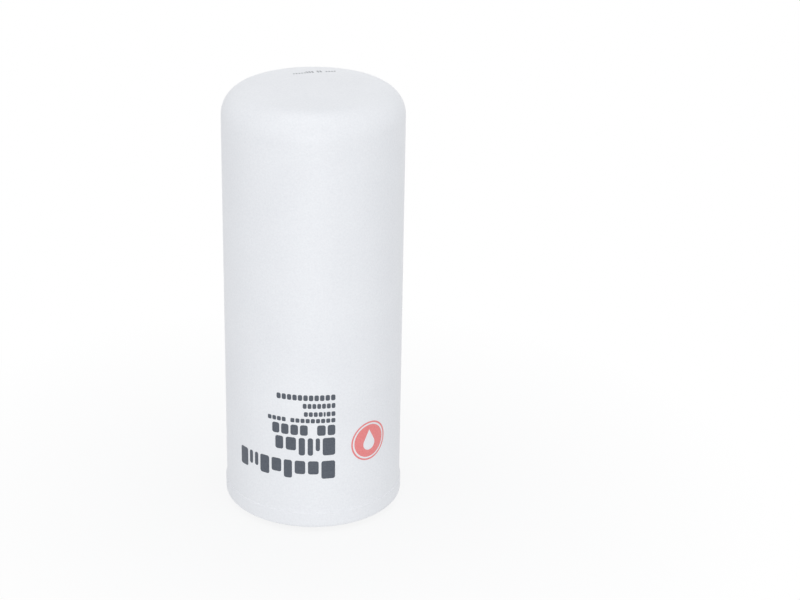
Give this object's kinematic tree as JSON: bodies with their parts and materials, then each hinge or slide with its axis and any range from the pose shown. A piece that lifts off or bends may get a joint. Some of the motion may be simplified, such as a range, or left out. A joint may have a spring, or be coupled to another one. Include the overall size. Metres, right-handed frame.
{
  "type": "hydraulic filter",
  "caption": "Spin-on hydraulic filter: white domed steel can, ported base plate with threaded centre, round gasket and a pleated element inside.",
  "frame": {"origin": "centre of the gasket's sealing face, on the filter's axis, at the bottom of the part", "axes": "+Z along the filter's axis, up to the closed dome; -Z is the way the mounting thread is reached"},
  "size_m": [0.098, 0.098, 0.239],
  "materials": {
    "white_paint": "satin white powder coat",
    "cast_plate": "as cast, fine grain",
    "seal_rubber": "smooth moulded",
    "plated_steel": "tin plated sheet",
    "spring_steel": "drawn wire",
    "adhesive": "cured adhesive",
    "filter_medium": "glass fibre sheet"
  },
  "bodies": {
    "root": {"can": "white_paint", "base_plate": "cast_plate", "mounting_gasket": "seal_rubber", "rim_seal_ring": "seal_rubber", "element_grommet": "seal_rubber", "lower_end_cap": "plated_steel", "lower_potting": "adhesive", "pleat_pack": "filter_medium", "seam_clip": "plated_steel", "pleat_band_1": "adhesive", "pleat_band_2": "adhesive", "pleat_band_3": "adhesive", "pleat_band_4": "adhesive", "centre_tube": "plated_steel", "upper_potting": "adhesive", "upper_end_cap": "plated_steel", "spring_seat": "plated_steel", "coil_spring": "spring_steel"}
  },
  "joints": []
}
